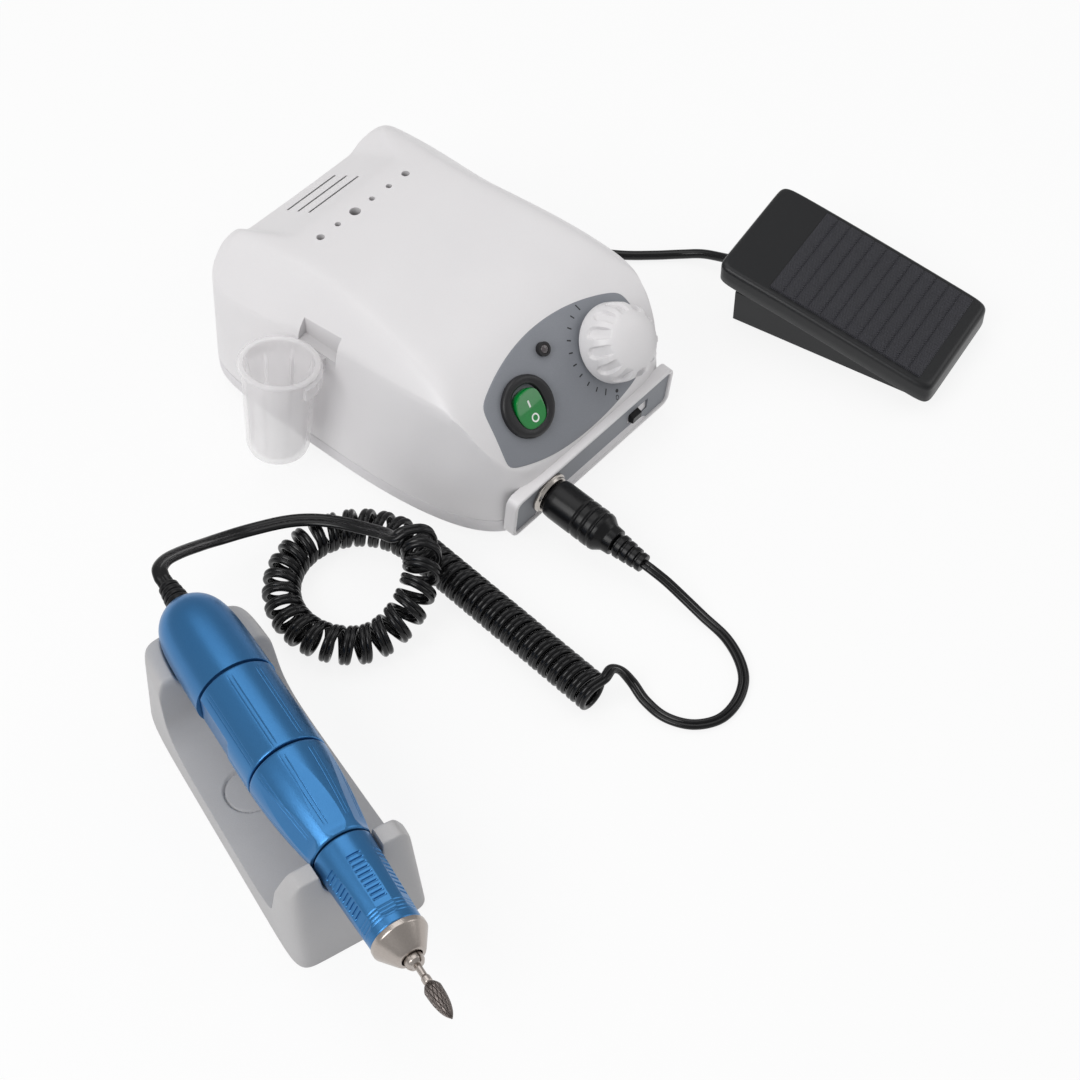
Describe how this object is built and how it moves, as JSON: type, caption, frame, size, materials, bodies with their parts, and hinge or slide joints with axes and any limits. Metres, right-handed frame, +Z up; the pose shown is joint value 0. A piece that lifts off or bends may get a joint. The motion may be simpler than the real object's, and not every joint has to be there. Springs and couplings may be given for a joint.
{
  "type": "dental micromotor",
  "caption": "Bench micromotor set: control unit with speed knob and bur holder, slim handpiece in its cradle on a curly lead, foot pedal and a clear cup.",
  "frame": {"origin": "on the table under the middle of the set's box, leads left out", "axes": "+X along the control unit's width to the right seen from its front, +Y from the unit's front to its back, +Z up"},
  "size_m": [0.3946, 0.3039, 0.072],
  "materials": {
    "shell": "fine moulded white",
    "panel": "satin grey",
    "black_plastic": "fine grain",
    "green_plastic": "gloss",
    "lamp": "milky",
    "steel": "turned",
    "chrome": "polished",
    "core": "laminated",
    "copper": "wound",
    "board": "lacquered",
    "alloy": "extruded",
    "capacitor": "sleeved",
    "clear": "clear moulded",
    "rubber": "smooth",
    "mat": "ribbed",
    "cradle": "satin grey",
    "anodised": "blue anodised",
    "carbon": "pressed",
    "cord": "glossy jacket"
  },
  "bodies": {
    "console": {"upper_housing": "shell", "base_tray": "shell", "control_panel": "panel", "jack_bezel": "shell", "jack_panel": "panel", "switch_bezel": "black_plastic", "pilot_lamp_bezel": "black_plastic", "pilot_lamp": "lamp", "speed_pot": "steel", "direction_switch": "black_plastic", "motor_socket": "chrome", "pedal_socket": "black_plastic", "mains_inlet": "black_plastic", "fuse_holder": "black_plastic", "transformer_core": "core", "transformer_coil": "copper", "circuit_board": "board", "heat_sink": "alloy", "capacitors": "capacitor", "unit_feet": "rubber", "base_screws": "steel", "cup_bracket": "clear", "pedal_base": "black_plastic", "pedal_bottom": "steel", "pedal_feet": "rubber", "pedal_switch": "black_plastic", "pedal_spring": "steel", "pedal_pin": "steel", "pedal_gland": "rubber", "cradle": "cradle", "motor_plug": "black_plastic", "plug_boot": "rubber", "plug_lead": "cord", "curly_cord": "cord", "handpiece_lead": "cord", "pedal_lead": "cord", "pedal_hank": "cord", "pedal_plug": "black_plastic", "cord_tie": "rubber"},
    "rocker": {"rocker": "green_plastic"},
    "knob": {"speed_knob": "shell", "pot_shaft": "steel"},
    "slider": {"direction_slider": "black_plastic"},
    "cup": {"bur_cup": "clear"},
    "foot_plate": {"treadle": "black_plastic", "treadle_mat": "mat"},
    "handpiece": {"rear_cap": "anodised", "motor_sleeve": "anodised", "nose_grip": "anodised", "nose_cone": "steel", "handpiece_gland": "rubber", "motor_can": "steel", "brushes": "carbon", "bearings": "steel"},
    "chuck": {"chuck_ring": "anodised"},
    "spindle": {"spindle": "steel", "rotor": "copper", "commutator": "copper"},
    "collet": {"collet": "steel"},
    "bur": {"bur": "steel"}
  },
  "joints": [
    {"name": "rocker_tilt", "type": "hinge", "parent": "console", "child": "rocker", "pos_m": [0.00653, 0.00263, 0.04641], "axis": [-1, 0, 0], "range_deg": [0, 18]},
    {"name": "knob_turn", "type": "hinge", "parent": "console", "child": "knob", "pos_m": [0.05253, -0.00251, 0.048], "axis": [0, 0.7771, -0.6293], "range_deg": [0, 280]},
    {"name": "slider_shift", "type": "slide", "parent": "console", "child": "slider", "axis": [1, 0, 0], "range_m": [0, 0.005]},
    {"name": "cup_lift", "type": "slide", "parent": "console", "child": "cup", "axis": [0.1392, 0, 0.9903], "range_m": [0, 0.07]},
    {"name": "treadle_press", "type": "hinge", "parent": "console", "child": "foot_plate", "pos_m": [0.16755, -0.08054, 0.0094], "axis": [-0.9877, -0.1564, 0], "range_deg": [0, 6], "stiffness_Nm_per_rad": 6, "springref_deg": -2.86, "deforming": ["pedal_spring"]},
    {"name": "handpiece_lift", "type": "slide", "parent": "console", "child": "handpiece", "axis": [0, 0, 1], "range_m": [0, 0.05], "deforming": ["handpiece_lead"]},
    {"name": "chuck_turn", "type": "hinge", "parent": "handpiece", "child": "chuck", "pos_m": [-0.16358, -0.05268, 0.04], "axis": [-0.2924, -0.9563, 0], "range_deg": [0, 45]},
    {"name": "spindle_spin", "type": "hinge", "parent": "handpiece", "child": "spindle", "pos_m": [-0.15481, -0.02399, 0.04], "axis": [-0.2924, -0.9563, 0], "continuous": true},
    {"name": "collet_draw", "type": "slide", "parent": "spindle", "child": "collet", "axis": [-0.2924, -0.9563, 0], "range_m": [0, 0.0008]},
    {"name": "bur_pull", "type": "slide", "parent": "collet", "child": "bur", "axis": [-0.2924, -0.9563, 0], "range_m": [0, 0.035]}
  ],
  "couplings": [
    {"joint": "collet_draw", "follows": "chuck_turn", "m_per_rad": 0.0010186}
  ]
}
